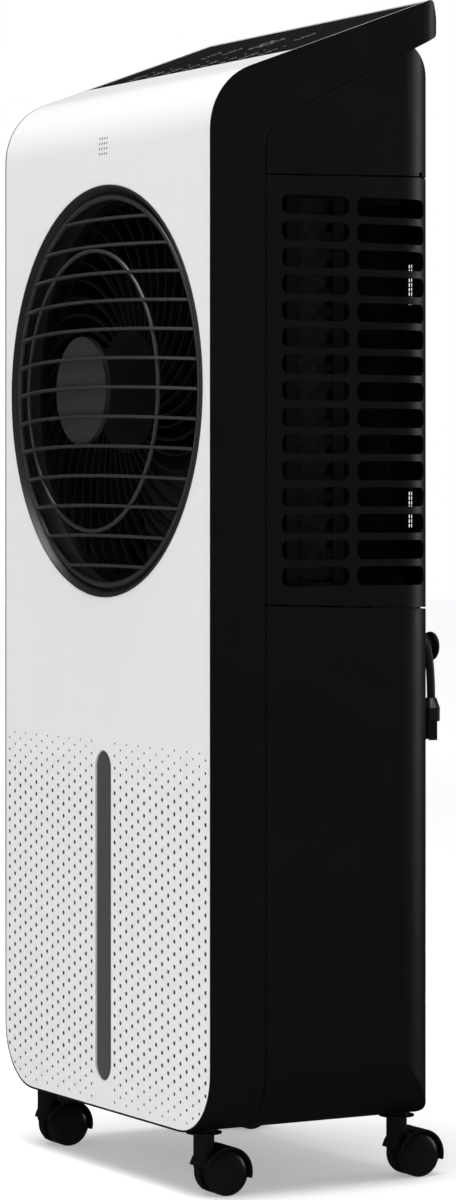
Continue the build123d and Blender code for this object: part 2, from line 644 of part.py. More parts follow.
with BuildPart() as filter_tab:
    with BuildSketch(Plane.XZ.offset(-behind(204))):
        with Locations((0, FILTER_HIGH - 6)):
            RectangleRounded(44, 8, 2)
    extrude(amount=8)
    fillet(filter_tab.faces().sort_by(Axis.Y)[-1].edges(), 1.5)
save(filter_tab.part, "filter_tab")

with BuildPart() as filter_mesh:
    with BuildSketch(Plane.XZ.offset(-behind(187.9))):
        with Locations((0, filter_mid)):
            Rectangle(2 * filter_half - FRAME_BAR, filter_height - FRAME_BAR)
    extrude(amount=1)
save(filter_mesh.part, "filter_mesh")

# ---------------------------------------------------------------- cooling pad and water path
with BuildPart() as pad_cassette:
    middle = ((CASSETTE_FRONT + CASSETTE_REAR) / 2, (CASSETTE_LOW + CASSETTE_HIGH) / 2)
    height = CASSETTE_HIGH - CASSETTE_LOW
    with Locations((0, behind(middle[0]), middle[1])):
        Box(2 * CASSETTE_HALF, CASSETTE_REAR - CASSETTE_FRONT, height)
        Box(2 * (CASSETTE_HALF - POST), 200, height - 2 * PLATE, mode=Mode.SUBTRACT)
    with Locations((0, behind((PAD_FRONT + PAD_REAR) / 2), middle[1])):
        Box(WIDTH, PAD_REAR - PAD_FRONT + 0.6, height - 2 * PLATE, mode=Mode.SUBTRACT)
save(pad_cassette.part, "pad_cassette")

with BuildPart() as cooling_pad:
    with Locations((0, behind((PAD_FRONT + PAD_REAR) / 2), middle[1])):
        Box(2 * CASSETTE_HALF - 1, PAD_REAR - PAD_FRONT, height - 2 * PLATE - 0.6)
save(cooling_pad.part, "cooling_pad")

TRAY_LOW, TRAY_HIGH = 726.4, 742.0
with BuildPart() as water_distributor:
    with Locations((0, behind(93), TRAY_LOW)):
        Box(300, 40, TRAY_HIGH - TRAY_LOW, align=(Align.CENTER, Align.CENTER, Align.MIN))
    with Locations((0, behind(93), TRAY_LOW + 2.5)):
        Box(295, 35, TRAY_HIGH - TRAY_LOW, align=(Align.CENTER, Align.CENTER, Align.MIN), mode=Mode.SUBTRACT)
    with Locations((0, behind(93), TRAY_LOW)):
        with GridLocations(24, 16, 12, 2):
            Cylinder(1.5, 12, mode=Mode.SUBTRACT)
save(water_distributor.part, "water_distributor")

HOSE_OUTER, HOSE_BORE = 6.0, 4.0
hose_start = (PUMP_X, behind(PUMP_DEPTH), 330)
hose_bend = (PUMP_X, behind(PUMP_DEPTH), TRAY_HIGH + 9)
hose_end = (PUMP_X, behind(104), TRAY_HIGH + 9)
with BuildPart() as supply_hose:
    with BuildLine() as hose_path:
        FilletPolyline(hose_start, hose_bend, hose_end, radius=[14])
    with BuildSketch(Plane.XY.offset(330)):
        with Locations((PUMP_X, behind(PUMP_DEPTH))):
            Circle(HOSE_OUTER)
            Circle(HOSE_BORE, mode=Mode.SUBTRACT)
    sweep(path=hose_path.wire())
save(supply_hose.part, "supply_hose")

# ---------------------------------------------------------------- tank drawer
with BuildPart() as water_tank:
    with BuildSketch(Plane.XY.offset(TANK_LOW)):
        with Locations((0, behind((TANK_FRONT + TANK_REAR) / 2))):
            RectangleRounded(2 * TANK_HALF, TANK_REAR - TANK_FRONT, 5)
    extrude(amount=TANK_HIGH - TANK_LOW)
    with BuildSketch(Plane.XY.offset(TANK_LOW + TANK_WALL)):
        with Locations((0, behind((TANK_FRONT + TANK_REAR) / 2))):
            RectangleRounded(2 * (TANK_HALF - TANK_WALL), TANK_REAR - TANK_FRONT - 2 * TANK_WALL, 2.5)
    extrude(amount=TANK_HIGH, mode=Mode.SUBTRACT)
    with BuildSketch(Plane.XZ.offset(-behind(TANK_REAR + 5))):
        with Locations((DRAIN_X, DRAIN_Z)):
            Circle(DRAIN_RADIUS)
    extrude(amount=20, mode=Mode.SUBTRACT)
save(water_tank.part, "water_tank")

with BuildPart() as tank_face:
    face_gap = 0.7
    with BuildSketch(Plane.XZ.offset(-behind(BODY_DEPTH))):
        with Locations((0, (DRAWER_LOW + DRAWER_HIGH) / 2)):
            RectangleRounded(2 * (DRAWER_HALF - face_gap), DRAWER_HIGH - DRAWER_LOW - 2 * face_gap, 3.5)
        with Locations((DRAIN_X, DRAIN_Z)):
            Circle(DRAIN_RADIUS, mode=Mode.SUBTRACT)
    extrude(amount=BODY_DEPTH - TANK_REAR)
    fillet(tank_face.faces().sort_by(Axis.Y)[-1].outer_wire().edges(), 1.0)
save(tank_face.part, "tank_face")

HANDLE_Z = 296.0
with BuildPart() as tank_handle:
    with BuildSketch(Plane.XY.offset(HANDLE_Z - 8)):
        with BuildLine():
            FilletPolyline((-68, behind(BODY_DEPTH)), (-60, behind(212)), (60, behind(212)),
                           (68, behind(BODY_DEPTH)), radius=[8, 8])
            Line((68, behind(BODY_DEPTH)), (54, behind(BODY_DEPTH)))
            FilletPolyline((54, behind(BODY_DEPTH)), (50, behind(206.5)), (-50, behind(206.5)),
                           (-54, behind(BODY_DEPTH)), radius=[5, 5])
            Line((-54, behind(BODY_DEPTH)), (-68, behind(BODY_DEPTH)))
        make_face()
    extrude(amount=16)
save(tank_handle.part, "tank_handle")

with BuildPart() as tank_rails:
    for side in (-1, 1):
        with Locations((side * 60, behind(98), 49.6)):
            Box(14, 176, 10.1, align=(Align.CENTER, Align.CENTER, Align.MIN))
save(tank_rails.part, "tank_rails")

with BuildPart() as drain_plug:
    with BuildSketch(Plane.YZ.offset(DRAIN_X)):
        with BuildLine():
            shank, cap = DRAIN_RADIUS - 0.4, 12.5
            FilletPolyline(yz(181, DRAIN_Z), yz(181, DRAIN_Z + shank), yz(BODY_DEPTH + 0.3, DRAIN_Z + shank),
                           yz(BODY_DEPTH + 0.3, DRAIN_Z + cap), yz(202, DRAIN_Z + cap), yz(202, DRAIN_Z),
                           radius=[1, 0.3, 0.5, 1.5])
            Line(yz(202, DRAIN_Z), yz(181, DRAIN_Z))
        make_face()
    revolve(axis=y_axis_at(DRAIN_Z, DRAIN_X))
save(drain_plug.part, "drain_plug")

GUIDE_RADIUS = 2.5
floor_z = TANK_LOW + TANK_WALL
with BuildPart() as float_guide:
    with Locations((FLOAT_X, behind(FLOAT_DEPTH), floor_z)):
        Cylinder(GUIDE_RADIUS, 240, align=(Align.CENTER, Align.CENTER, Align.MIN))
        Cylinder(8, 3, align=(Align.CENTER, Align.CENTER, Align.MIN))
    with Locations((FLOAT_X, behind(TANK_FRONT + TANK_WALL), floor_z + 240)):
        Box(14, FLOAT_DEPTH - TANK_FRONT + 4, 4, align=(Align.CENTER, Align.MIN, Align.MIN))
save(float_guide.part, "float_guide")

with BuildPart() as level_float:
    with Locations((FLOAT_X, behind(FLOAT_DEPTH), floor_z + 3.3)):
        Cylinder(15, 22, align=(Align.CENTER, Align.CENTER, Align.MIN))
        fillet(level_float.edges(), 3)
        Cylinder(GUIDE_RADIUS + 0.1, 30, align=(Align.CENTER, Align.CENTER, Align.MIN), mode=Mode.SUBTRACT)
save(level_float.part, "level_float")

with BuildPart() as water_pump:
    with Locations((PUMP_X, behind(PUMP_DEPTH), floor_z)):
        Box(38, 44, 30, align=(Align.CENTER, Align.CENTER, Align.MIN))
    fillet(water_pump.edges().filter_by(Axis.Z), 6)
    with Locations((PUMP_X, behind(PUMP_DEPTH), floor_z + 30)):
        Cylinder(13, 8, align=(Align.CENTER, Align.CENTER, Align.MIN))
        Cylinder(HOSE_OUTER, 328 - floor_z - 30, align=(Align.CENTER, Align.CENTER, Align.MIN))
    with Locations((PUMP_X, behind(PUMP_DEPTH), 328)):
        Cylinder(HOSE_BORE, 200, align=(Align.CENTER, Align.CENTER, Align.MAX), mode=Mode.SUBTRACT)
save(water_pump.part, "water_pump")

# ---------------------------------------------------------------- casters
SOCKET_RADIUS, SOCKET_FLANGE, SOCKET_HEIGHT = 9.0, 13.0, 9.6
caster_spots = {f"{row}_{side}": (sign * CASTER_X, behind(depth))
                for row, depth in CASTER_DEPTHS.items() for side, sign in (("left", -1), ("right", 1))}

with BuildPart() as caster_sockets:
    with Locations(*[(x, y, 45) for x, y in caster_spots.values()]):
        Cylinder(SOCKET_RADIUS, SOCKET_HEIGHT, align=(Align.CENTER, Align.CENTER, Align.MIN))
        Cylinder(SOCKET_FLANGE, 1, align=(Align.CENTER, Align.CENTER, Align.MIN))
        Cylinder(STEM_RADIUS + SHAFT_CLEARANCE, 40, mode=Mode.SUBTRACT)
save(caster_sockets.part, "caster_sockets")

WEB, WHEEL_IN, WHEEL_OUT = 4.0, 2.6, 14.6
AXLE_RADIUS = 2.5
HOOD_OUTER, HOOD_INNER, HOOD_HALF = 19.0, 17.3, 13.2
BOSS_RADIUS, BOSS_TOP = 7.6, 44.6

for corner, (x, y) in caster_spots.items():
    axle_y = y + CASTER_TRAIL

    with BuildPart() as caster_hood:
        with Locations((x, axle_y, WHEEL_RADIUS)):
            Cylinder(HOOD_OUTER, 2 * HOOD_HALF, rotation=(0, 90, 0))
        with Locations((x, y, 20)):
            Cylinder(BOSS_RADIUS, BOSS_TOP - 20, align=(Align.CENTER, Align.CENTER, Align.MIN))
        for side in (-1, 1):
            with Locations((x + side * (WEB / 2 + 15), axle_y, WHEEL_RADIUS)):
                Cylinder(HOOD_INNER, 30, rotation=(0, 90, 0), mode=Mode.SUBTRACT)
            with Locations((x + side * (WEB / 2 + 15), axle_y - 5, 21)):
                Box(30, 60, 40, align=(Align.CENTER, Align.MAX, Align.MAX), mode=Mode.SUBTRACT)
            with Locations((x + side * (WEB / 2 + 15), axle_y, 12)):
                Box(30, 60, 30, align=(Align.CENTER, Align.CENTER, Align.MAX), mode=Mode.SUBTRACT)
        with Locations((x, axle_y, 5)):
            Box(40, 60, 30, align=(Align.CENTER, Align.CENTER, Align.MAX), mode=Mode.SUBTRACT)
        with Locations((x, axle_y, WHEEL_RADIUS)):
            Cylinder(AXLE_RADIUS + 0.06, 10, rotation=(0, 90, 0), mode=Mode.SUBTRACT)
        with Locations((x, y, 34)):
            Cylinder(STEM_RADIUS, 20, align=(Align.CENTER, Align.CENTER, Align.MIN), mode=Mode.SUBTRACT)
    save(caster_hood.part, f"caster_hood_{corner}")

    with BuildPart() as caster_stem:
        with Locations((x, y, 34)):
            Cylinder(STEM_RADIUS, 20, align=(Align.CENTER, Align.CENTER, Align.MIN))
        chamfer(caster_stem.faces().sort_by(Axis.Z)[-1].edges(), 1)
    save(caster_stem.part, f"caster_stem_{corner}")

    with BuildPart() as caster_wheels:
        with BuildSketch(Plane((x, axle_y, WHEEL_RADIUS), x_dir=(1, 0, 0), z_dir=(0, -1, 0))):
            with BuildLine():
                Polyline((WHEEL_IN, AXLE_RADIUS), (WHEEL_IN, WHEEL_RADIUS - 1), (WHEEL_IN + 1, WHEEL_RADIUS),
                         (10.4, WHEEL_RADIUS))
                ThreePointArc((10.4, WHEEL_RADIUS), (13.4, 12.2), (WHEEL_OUT, 5))
                Polyline((WHEEL_OUT, 5), (WHEEL_OUT, 0), (WHEEL_OUT - 1.6, 0), (WHEEL_OUT - 1.6, AXLE_RADIUS),
                         (WHEEL_IN, AXLE_RADIUS))
            make_face()
            mirror(about=Plane.YZ)
        revolve(axis=Axis((x, axle_y, WHEEL_RADIUS), (1, 0, 0)))
    save(caster_wheels.part, f"caster_wheels_{corner}")

    with BuildPart() as caster_axle:
        with Locations((x, axle_y, WHEEL_RADIUS)):
            Cylinder(AXLE_RADIUS, 2 * (WHEEL_OUT - 1.6), rotation=(0, 90, 0))
    save(caster_axle.part, f"caster_axle_{corner}")

# ---------------------------------------------------------------- cord pegs, outlet and cord
with BuildPart() as cord_pegs:
    for peg_x, peg_z in ((HANK_LEFT, HANK_Z), (HANK_RIGHT, HANK_Z), SIDE_PEG):
        with BuildSketch(Plane.YZ.offset(peg_x)):
            with BuildLine():
                FilletPolyline(yz(BODY_DEPTH, peg_z), yz(BODY_DEPTH, peg_z + PEG_FLANGE),
                               yz(PEG_BACK - 1, peg_z + PEG_FLANGE), yz(PEG_BACK - 1, peg_z + PEG_RADIUS),
                               yz(PEG_NECK_END, peg_z + PEG_RADIUS), yz(PEG_NECK_END, peg_z + PEG_FLANGE),
                               yz(PEG_END, peg_z + PEG_FLANGE - 0.5), yz(PEG_END, peg_z),
                               radius=[0.5, 1.5, 0.5, 0.5, 1.2, 1.8])
                Line(yz(PEG_END, peg_z), yz(BODY_DEPTH, peg_z))
            make_face()
        revolve(axis=y_axis_at(peg_z, peg_x))
save(cord_pegs.part, "cord_pegs")

hank_inner = PEG_RADIUS + 0.5
hank_outer = hank_inner + HANK_LAYERS * CORD
lane_z = HANK_Z + hank_outer - CORD / 2         # outermost turn, above the pegs
HANK_DEPTH = 205.0
LEAD_DEPTH = 207.0
OUTLET_X = -104.0
RELIEF_TIP = -66.0

with BuildPart() as cord_outlet:
    with BuildSketch(Plane.XZ.offset(-behind(BODY_DEPTH + 20))):
        with Locations((OUTLET_X, lane_z)):
            RectangleRounded(24, 24, 5)
    extrude(amount=20)
    fillet(cord_outlet.faces().sort_by(Axis.Y)[-1].edges(), 4)
save(cord_outlet.part, "cord_outlet")

with BuildPart() as strain_relief:
    with BuildSketch(Plane.XY.offset(lane_z)):
        with BuildLine():
            axis_y = behind(LEAD_DEPTH)
            Polyline((-92, axis_y), (-92, axis_y + 5.6), (-88, axis_y + 5.6), (-88, axis_y + 4.9),
                     (RELIEF_TIP, axis_y + CORD / 2 + 0.5), (RELIEF_TIP, axis_y), close=True)
        make_face()
    revolve(axis=Axis((0, behind(LEAD_DEPTH), lane_z), (1, 0, 0)))
save(strain_relief.part, "strain_relief")

LEAD_IN = [(RELIEF_TIP, behind(LEAD_DEPTH), lane_z), (-38.0, behind(LEAD_DEPTH + 1), lane_z)]
TAIL = [(70.0, behind(201.9), lane_z - 0.4), (92.0, behind(203.4), lane_z + 0.9),
        (114.5, behind(203.6), lane_z - 0.1), (133.4, behind(203.6), 387.6), (133.9, behind(203.5), 353.0)]


def bend_radii(points):
    """Each bend is as large as the shorter of the two runs beside it allows."""
    radii = []
    for before, here, after in zip(points, points[1:], points[2:]):
        first, second = Vector(*here) - Vector(*before), Vector(*after) - Vector(*here)
        turn = radians(first.get_angle(second))
        radii.append(0.45 * min(first.length, second.length) / tan(turn / 2))
    return radii


tail_radii = bend_radii(TAIL)
print("cord bend radii", [round(value, 1) for value in tail_radii])

with BuildPart() as power_cord:
    with BuildLine() as lead_path:
        Line(*LEAD_IN)
    with BuildSketch(Plane(lead_path.line @ 0, z_dir=lead_path.line % 0)):
        Circle(CORD / 2)
    sweep(path=lead_path.wire())
    with BuildLine() as tail_path:
        FilletPolyline(*TAIL, radius=tail_radii)
    with BuildSketch(Plane(tail_path.wire() @ 0, z_dir=tail_path.wire() % 0)):
        Circle(CORD / 2)
    sweep(path=tail_path.wire())
tube_length = lead_path.wire().length + tail_path.wire().length
tube_volume = pi * CORD**2 / 4 * tube_length
print("cord tube length", tube_length, "volume ratio", power_cord.part.volume / tube_volume)
save(power_cord.part, "power_cord")

with BuildPart() as cord_hank:
    with BuildSketch(Plane.XZ.offset(-behind(HANK_DEPTH + CORD))):
        with Locations(((HANK_LEFT + HANK_RIGHT) / 2, HANK_Z)):
            SlotCenterToCenter(HANK_RIGHT - HANK_LEFT, 2 * hank_outer)
            SlotCenterToCenter(HANK_RIGHT - HANK_LEFT, 2 * hank_inner, mode=Mode.SUBTRACT)
    extrude(amount=2 * CORD)
save(cord_hank.part, "cord_hank")

PLUG_TOP, PLUG_LOW = 353.0, 336.0
PLUG_NECK, BLADE_LENGTH = 7.0, 14.0
plug_spot = Plane((133.9, behind(203.5), PLUG_TOP), x_dir=(1, 0, 0), z_dir=(0, 0, 1))
plug_plane = plug_spot.rotated((0, 0, PLUG_TURN))
with BuildPart() as plug_body:
    with BuildSketch(plug_plane):
        RectangleRounded(8.4, 7.6, 3.5)
    with BuildSketch(plug_plane.offset(-PLUG_NECK)):
        RectangleRounded(20, 10.5, 4)
    loft()
    with BuildSketch(plug_plane.offset(-PLUG_NECK)):
        RectangleRounded(20, 10.5, 4)
    extrude(amount=PLUG_LOW - PLUG_TOP + PLUG_NECK)
    fillet(plug_body.faces().sort_by(Axis.Z)[0].edges(), 1)
save(plug_body.part, "plug_body")

with BuildPart() as plug_blades:
    with BuildSketch(plug_plane.offset(PLUG_LOW - PLUG_TOP)):
        with GridLocations(12.7, 1, 2, 1):
            Rectangle(1.5, 6.3)
    extrude(amount=-BLADE_LENGTH)
save(plug_blades.part, "plug_blades")
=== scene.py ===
"""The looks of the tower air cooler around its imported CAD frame. Metres; +Z up, -Y is the front."""
import math

import bmesh
import bpy
import numpy as np
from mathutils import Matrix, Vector


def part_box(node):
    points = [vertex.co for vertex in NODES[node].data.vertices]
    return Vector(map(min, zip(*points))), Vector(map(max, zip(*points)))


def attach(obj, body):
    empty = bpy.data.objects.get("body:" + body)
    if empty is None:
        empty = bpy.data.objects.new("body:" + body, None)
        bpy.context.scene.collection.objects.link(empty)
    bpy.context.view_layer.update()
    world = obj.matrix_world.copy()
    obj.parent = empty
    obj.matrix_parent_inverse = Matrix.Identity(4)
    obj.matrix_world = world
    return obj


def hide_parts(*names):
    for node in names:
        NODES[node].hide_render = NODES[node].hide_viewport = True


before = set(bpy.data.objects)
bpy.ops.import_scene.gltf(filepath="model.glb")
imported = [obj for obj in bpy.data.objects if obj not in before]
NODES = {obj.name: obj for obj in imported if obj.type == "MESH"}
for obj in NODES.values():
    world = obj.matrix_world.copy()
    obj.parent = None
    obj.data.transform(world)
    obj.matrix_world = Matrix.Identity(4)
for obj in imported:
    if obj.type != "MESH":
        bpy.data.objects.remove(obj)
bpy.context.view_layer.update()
CORNERS = ("front_left", "front_right", "rear_left", "rear_right")
MM = 0.001

# ---------------------------------------------------------------- places read from the frame
panel_low, panel_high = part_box("front_panel")
FRONT = panel_low[1]                        # flat front face
SLOPE = 0.37                                # rise of the sloping top towards the rear
CREST = 0.7961                              # where the front face and the sloping top would meet
FRONT_ROUND = 0.050


def behind(depth_mm):
    """Y of a depth behind the flat front face, given in millimetres."""
    return FRONT + depth_mm * MM


# ---------------------------------------------------------------- camera
CAMERA_SPOT = (2.5699, behind(-1336.2), 0.4988)
CAMERA_AZIMUTH = math.radians(60.69)
FOCAL, SENSOR = 116.82, 36.0
HORIZON_SHIFT = -0.083

camera_data = bpy.data.cameras.new("camera")
camera_data.lens = FOCAL
camera_data.sensor_width = SENSOR
camera_data.shift_y = HORIZON_SHIFT
camera_data.clip_end = 60
camera = bpy.data.objects.new("camera", camera_data)
bpy.context.collection.objects.link(camera)
camera.location = CAMERA_SPOT
camera.rotation_euler = (math.pi / 2, 0, CAMERA_AZIMUTH)
bpy.context.scene.camera = camera
bpy.context.scene.view_settings.view_transform = "Standard"


# ---------------------------------------------------------------- materials
def new_material(name):
    material = bpy.data.materials.new(name)
    material.use_nodes = True
    nodes = material.node_tree.nodes
    return material, nodes, material.node_tree.links, nodes["Principled BSDF"]


def noise(nodes, links, scale, detail=4.0, rough=0.55, stretch=(1, 1, 1)):
    """Noise over the object's own coordinates, in metres."""
    coords = nodes.new("ShaderNodeTexCoord")
    mapping = nodes.new("ShaderNodeMapping")
    mapping.inputs["Scale"].default_value = stretch
    texture = nodes.new("ShaderNodeTexNoise")
    texture.inputs["Scale"].default_value = scale
    texture.inputs["Detail"].default_value = detail
    texture.inputs["Roughness"].default_value = rough
    links.new(coords.outputs["Object"], mapping.inputs["Vector"])
    links.new(mapping.outputs["Vector"], texture.inputs["Vector"])
    return texture.outputs["Fac"]


def ramp(nodes, links, value, low, high, start=0.35, end=0.65):
    """Maps a 0 to 1 value onto low..high."""
    node = nodes.new("ShaderNodeMapRange")
    node.inputs["From Min"].default_value = start
    node.inputs["From Max"].default_value = end
    node.inputs["To Min"].default_value = low
    node.inputs["To Max"].default_value = high
    links.new(value, node.inputs["Value"])
    return node.outputs["Result"]


def tint(nodes, links, value, dark, light):
    node = nodes.new("ShaderNodeMix")
    node.data_type = "RGBA"
    node.inputs["A"].default_value = (*dark, 1)
    node.inputs["B"].default_value = (*light, 1)
    links.new(value, node.inputs["Factor"])
    return node.outputs["Result"]


def bump(nodes, links, shader, height, strength, distance):
    node = nodes.new("ShaderNodeBump")
    node.inputs["Strength"].default_value = strength
    node.inputs["Distance"].default_value = distance
    links.new(height, node.inputs["Height"])
    links.new(node.outputs["Normal"], shader.inputs["Normal"])


def moulded(name, colour, rough, vary=0.12, grain=900.0, grain_depth=0.00003, rough_vary=0.06, coat=0.0,
            specular=0.5):
    """Moulded plastic: fine grain, slow changes of colour and gloss."""
    material, nodes, links, shader = new_material(name)
    slow = noise(nodes, links, 5.0, 1.0)
    dark = tuple(c * (1 - vary) for c in colour)
    light = tuple(min(1.0, c * (1 + vary)) for c in colour)
    shade = ramp(nodes, links, slow, 0, 1, 0.2, 0.8)
    links.new(tint(nodes, links, shade, dark, light), shader.inputs["Base Color"])
    patches = noise(nodes, links, 30.0, 2.0)
    links.new(ramp(nodes, links, patches, rough - rough_vary, rough + rough_vary, 0.15, 0.85),
              shader.inputs["Roughness"])
    bump(nodes, links, shader, noise(nodes, links, grain, 2.0), 0.35, grain_depth)
    shader.inputs["Coat Weight"].default_value = coat
    shader.inputs["Coat Roughness"].default_value = 0.08
    shader.inputs["Specular IOR Level"].default_value = specular
    return material


def metal(name, colour, rough, brush=(1, 1, 1)):
    """Turned or brushed metal with fine lines."""
    material, nodes, links, shader = new_material(name)
    shader.inputs["Metallic"].default_value = 1.0
    lines = noise(nodes, links, 700.0, 3.0, stretch=brush)
    dark = tuple(c * 0.8 for c in colour)
    links.new(tint(nodes, links, lines, dark, colour), shader.inputs["Base Color"])
    links.new(ramp(nodes, links, lines, rough - 0.08, rough + 0.1), shader.inputs["Roughness"])
    bump(nodes, links, shader, lines, 0.2, 0.00002)
    return material


WHITE = moulded("white_plastic", (0.80, 0.80, 0.80), 0.32, vary=0.008, grain=650, grain_depth=0.000006,
                rough_vary=0.02, coat=0.2)
BLACK = moulded("black_plastic", (0.0034, 0.0035, 0.0038), 0.42, grain=1100, grain_depth=0.00004,
                specular=0.35)
GLASS = moulded("control_glass", (0.0022, 0.0023, 0.0026), 0.12, vary=0.1, grain=60, grain_depth=0.000003,
                rough_vary=0.02, specular=0.25)
GREY = moulded("grille_plastic", (0.034, 0.034, 0.035), 0.30, grain=900, grain_depth=0.00002)
INNER = moulded("inner_plastic", (0.0055, 0.0055, 0.0058), 0.45, grain=800, specular=0.35)
BLADES = moulded("fan_plastic", (0.0024, 0.0024, 0.0027), 0.35, grain=500, grain_depth=0.00001, specular=0.3)
RIM = moulded("rim_plastic", (0.020, 0.020, 0.021), 0.36, grain=900, grain_depth=0.00002, specular=0.4)
GUARD = moulded("guard_plastic", (0.0048, 0.0048, 0.0052), 0.34, grain=700, grain_depth=0.00002, specular=0.4)
BRACKET = moulded("bracket_plastic", (0.0040, 0.0040, 0.0044), 0.4, grain=600)
MOTOR = moulded("motor_paint", (0.012, 0.012, 0.013), 0.45, grain=300)
STEEL = metal("bright_steel", (0.62, 0.62, 0.63), 0.25, brush=(1, 8, 1))
NICKEL = metal("blade_nickel", (0.30, 0.29, 0.27), 0.3, brush=(6, 6, 1))
BOARD = moulded("board_green", (0.015, 0.10, 0.04), 0.5, vary=0.3, grain=260)
WINDOW = moulded("window_smoke", (0.070, 0.070, 0.074), 0.12, vary=0.05, grain=80, grain_depth=0.000005,
                 rough_vary=0.03, coat=0.3)
HOSE = moulded("hose_rubber", (0.20, 0.21, 0.20), 0.35, vary=0.1)
TANK = moulded("tank_plastic", (0.36, 0.39, 0.41), 0.32, vary=0.05, grain=300)
FLOAT = moulded("float_plastic", (0.55, 0.13, 0.02), 0.35)
CASTER = moulded("caster_plastic", (0.0058, 0.0058, 0.0066), 0.27, grain=700, grain_depth=0.00002)
RUBBER = moulded("cord_rubber", (0.0095, 0.0095, 0.0100), 0.42, grain=1400, grain_depth=0.00003)
PRINT = moulded("panel_print", (0.30, 0.32, 0.33), 0.4, vary=0.08)
# dark grey painted shade for the inside of the front panel's dimples
DIMPLE_SHADE = moulded("dimple_painted_shade", (0.055, 0.055, 0.060), 0.5, vary=0.1)
# near-black fill for the sensor holes and the gaps in the rear wall: painted shade
SHADE_FILL = moulded("painted_shade_fill", (0.030, 0.030, 0.031), 0.7, grain=1500)
NET = moulded("net_thread", (0.020, 0.020, 0.022), 0.6, grain=1500)


def pad_material():
    """Wetted cellulose sheet: fibres, and darker patches where water has run."""
    material, nodes, links, shader = new_material("pad_fibre")
    fibres = noise(nodes, links, 380.0, 6.0, 0.7, stretch=(1, 1, 0.25))
    streaks = noise(nodes, links, 16.0, 3.0, stretch=(1, 1, 0.2))
    mixed = nodes.new("ShaderNodeMath")
    mixed.operation = "MULTIPLY"
    links.new(fibres, mixed.inputs[0])
    links.new(streaks, mixed.inputs[1])
    links.new(tint(nodes, links, ramp(nodes, links, mixed.outputs[0], 0, 1, 0.1, 0.45),
                   (0.0030, 0.0029, 0.0032), (0.0120, 0.0112, 0.0112)), shader.inputs["Base Color"])
    shader.inputs["Roughness"].default_value = 0.9
    bump(nodes, links, shader, fibres, 0.6, 0.0003)
    return material


PAD = pad_material()

CAD_MATERIALS = {
    WHITE: ("front_panel",),
    BLACK: ("front_frame", "rear_housing_top", "louvre_panel", "lower_housing", "tank_face", "cord_pegs",
            "cord_outlet"),
    GLASS: ("control_panel",),
    GREY: ("front_grille", "grille_rings", "grille_disc"),
    RIM: ("fan_bezel",),
    INNER: ("fan_shroud", "filter_frame", "filter_tab", "pad_cassette", "water_distributor", "tank_rails",
            "float_guide", "water_pump", "tank_handle", "drain_plug"),
    GUARD: ("fan_guard",),
    BRACKET: ("motor_bracket",),
    BLADES: ("fan_impeller", "fan_nut"),
    MOTOR: ("fan_motor",),
    STEEL: ("motor_shaft", "housing_screws", *(f"caster_stem_{c}" for c in CORNERS),
            *(f"caster_axle_{c}" for c in CORNERS)),
    NICKEL: ("plug_blades",),
    BOARD: ("control_board",),
    WINDOW: ("level_window",),
    HOSE: ("supply_hose",),
    TANK: ("water_tank",),
    FLOAT: ("level_float",),
    CASTER: ("caster_sockets", *(f"caster_hood_{c}" for c in CORNERS),
             *(f"caster_wheels_{c}" for c in CORNERS)),
    RUBBER: ("power_cord", "cord_hank", "strain_relief", "plug_body"),
    PAD: ("cooling_pad",),
    NET: ("filter_mesh",),
}
for material, names in CAD_MATERIALS.items():
    for name in names:
        mesh = NODES[name].data
        mesh.materials.clear()
        mesh.materials.append(material)


def new_piece(name, mesh, material, body):
    """A mesh piece that rides on a CAD body."""
    piece = bpy.data.objects.new(name, mesh)
    bpy.context.collection.objects.link(piece)
    if not mesh.materials:
        mesh.materials.append(material)
    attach(piece, body)
    return piece


def mesh_from(name, vertices, faces, smooth=False):
    mesh = bpy.data.meshes.new(name)
    mesh.from_pydata([tuple(v) for v in vertices], [], faces)
    mesh.update()
    if smooth:
        mesh.shade_smooth()
    return mesh


# ---------------------------------------------------------------- cord
CORD = 6.2                                  # diameter, millimetres
peg_low, peg_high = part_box("cord_hank")
HANK_CENTRE = ((peg_low[0] + peg_high[0]) / 2 / MM, (peg_low[2] + peg_high[2]) / 2 / MM)
HANK_OUTER = (peg_high[2] - peg_low[2]) / 2 / MM
HALF_RUN = (peg_high[0] - peg_low[0]) / 2 / MM - HANK_OUTER
LANES = (208.1, 201.9)                      # depths of the two lanes of turns
LAYER_RADII = [HANK_OUTER - CORD * (layer + 0.5) for layer in range(3)]
relief_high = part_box("strain_relief")[1]
LANE_Z = HANK_CENTRE[1] + LAYER_RADII[0]
CORD_EXIT = (relief_high[0] / MM, 207.0, LANE_Z)
LEAD_IN = [CORD_EXIT, (-52.0, 207.3, LANE_Z), (-38.0, 208.0, LANE_Z)]
TAIL = [(92.0, 203.4, LANE_Z + 0.9), (114.5, 203.6, LANE_Z - 0.1), (133.4, 203.6, 387.6),
        (133.9, 203.5, 353.0)]                  # down from the right peg to the plug
END_POINTS = 8                              # points round each end of the hank


def hank_turn(radius, next_radius, depth, next_depth):
    """One turn: over the top to the right, round, back underneath, and round the left end."""
    centre_x, centre_z = HANK_CENTRE
    points = []
    for share in (0.0, 0.35, 0.7):
        points.append((centre_x - HALF_RUN + share * 2 * HALF_RUN, depth, centre_z + radius))
    for step in range(END_POINTS + 1):
        angle = math.pi / 2 - math.pi * step / END_POINTS
        points.append((centre_x + HALF_RUN + radius * math.cos(angle), depth,
                       centre_z + radius * math.sin(angle)))
    for share in (0.3, 0.65):
        level = depth + (next_depth - depth) * share
        points.append((centre_x + HALF_RUN - share * 2 * HALF_RUN, level, centre_z - radius))
    for step in range(END_POINTS):
        share = step / END_POINTS
        angle = -math.pi / 2 - math.pi * share
        here = radius + (next_radius - radius) * share
        points.append((centre_x - HALF_RUN + here * math.cos(angle), next_depth,
                       centre_z + here * math.sin(angle)))
    return points


